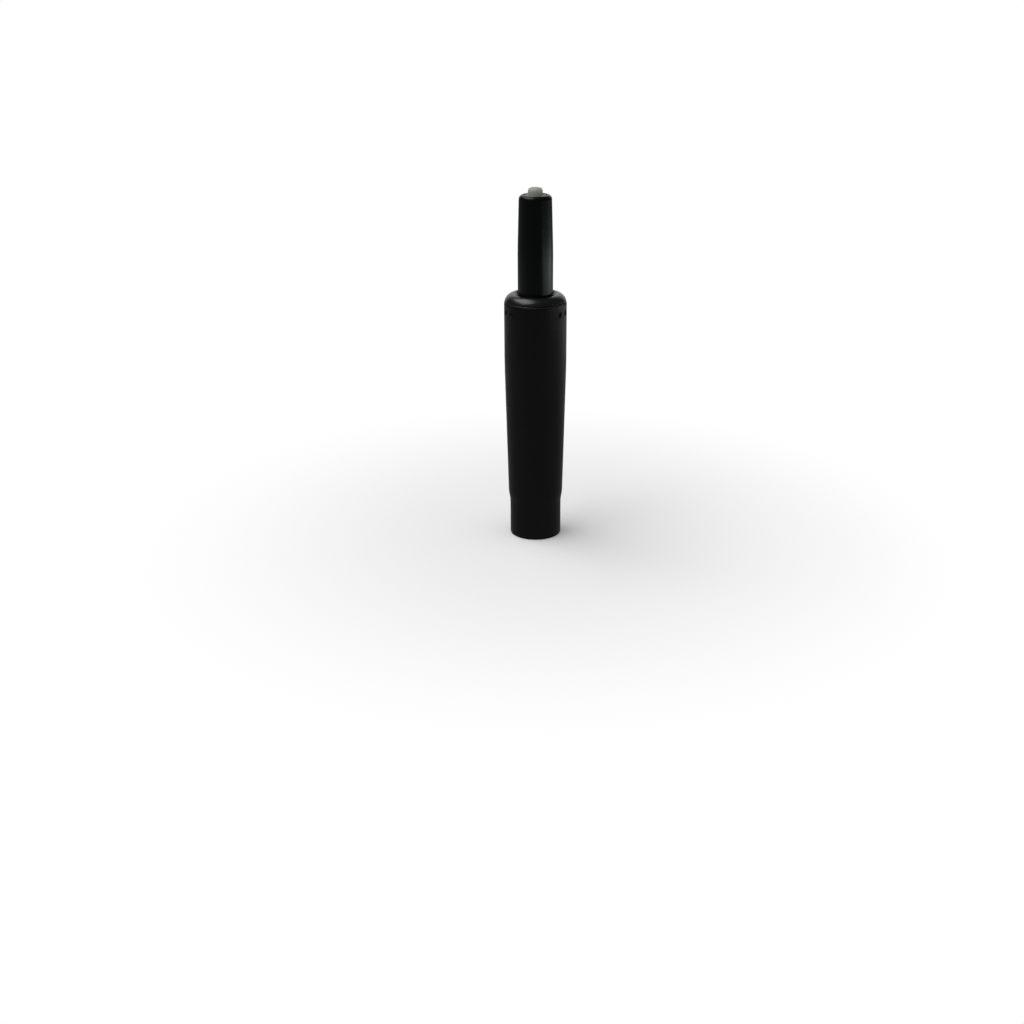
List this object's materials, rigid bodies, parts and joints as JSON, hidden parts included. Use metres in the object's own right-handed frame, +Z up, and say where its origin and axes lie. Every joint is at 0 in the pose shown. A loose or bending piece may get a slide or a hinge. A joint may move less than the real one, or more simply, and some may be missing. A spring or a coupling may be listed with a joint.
{
  "type": "chair gas lift",
  "caption": "Chair gas lift: tapered steel column with a swivel bearing in its foot, and a sliding gas spring tube with a tapered top and a release button.",
  "frame": {"origin": "centre of the column's lower rim, on the axis", "axes": "+Z up along the axis that the seat turns on and rises along; +X is the open side of the retaining clip"},
  "size_m": [0.05, 0.05, 0.287],
  "materials": {
    "column_paint": "satin black powder coat",
    "bush_plastic": "moulded black, low sheen",
    "tube_paint": "gloss black lacquer",
    "plated_steel": "zinc plated",
    "bearing_steel": "ground and polished",
    "cage_brass": "pressed",
    "rod_steel": "ground",
    "spring_steel": "blued spring steel",
    "rubber": "moulded black rubber",
    "guide_plastic": "natural moulded plastic",
    "inner_aluminium": "drawn",
    "valve_brass": "turned",
    "cap_metal": "grey, fine blasted",
    "button_plastic": "light grey moulded plastic"
  },
  "bodies": {
    "column": {"column_tube": "column_paint", "guide_bush": "bush_plastic", "bottom_cup": "plated_steel", "lower_race": "bearing_steel"},
    "cage": {"ball_cage": "cage_brass", "bearing_balls": "bearing_steel"},
    "rod": {"upper_race": "bearing_steel", "thrust_washer": "plated_steel", "rubber_buffer": "rubber", "piston_rod": "rod_steel", "clip_washer": "plated_steel", "retaining_clip": "spring_steel", "lower_piston_washer": "plated_steel", "piston": "guide_plastic", "piston_seal": "rubber", "upper_piston_washer": "plated_steel"},
    "tube": {"pressure_tube": "tube_paint", "end_washer": "plated_steel", "rod_guide": "guide_plastic", "rod_seal": "rubber", "seal_retainer": "guide_plastic", "centring_ring": "guide_plastic", "inner_tube": "inner_aluminium", "valve_body": "valve_brass", "lower_valve_ring": "rubber", "upper_valve_ring": "rubber", "lower_pin_seal": "rubber", "seal_spacer": "guide_plastic", "upper_pin_seal": "rubber", "seal_gland": "valve_brass", "valve_cap": "cap_metal"},
    "release": {"release_button": "button_plastic", "valve_pin": "rod_steel", "poppet_seal": "rubber"}
  },
  "joints": [
    {"name": "swivel", "type": "hinge", "parent": "column", "child": "rod", "pos_m": [0, 0, 0.0138], "axis": [0, 0, 1], "continuous": true},
    {"name": "cage_roll", "type": "hinge", "parent": "column", "child": "cage", "pos_m": [0, 0, 0.0138], "axis": [0, 0, 1], "continuous": true},
    {"name": "height_slide", "type": "slide", "parent": "rod", "child": "tube", "axis": [0, 0, 1], "range_m": [0, 0.1]},
    {"name": "button_press", "type": "slide", "parent": "tube", "child": "release", "axis": [0, 0, -1], "range_m": [0, 0.004], "stiffness_N_per_m": 3000, "springref_m": -0.01}
  ],
  "couplings": [
    {"joint": "cage_roll", "follows": "swivel", "ratio": 0.5}
  ]
}
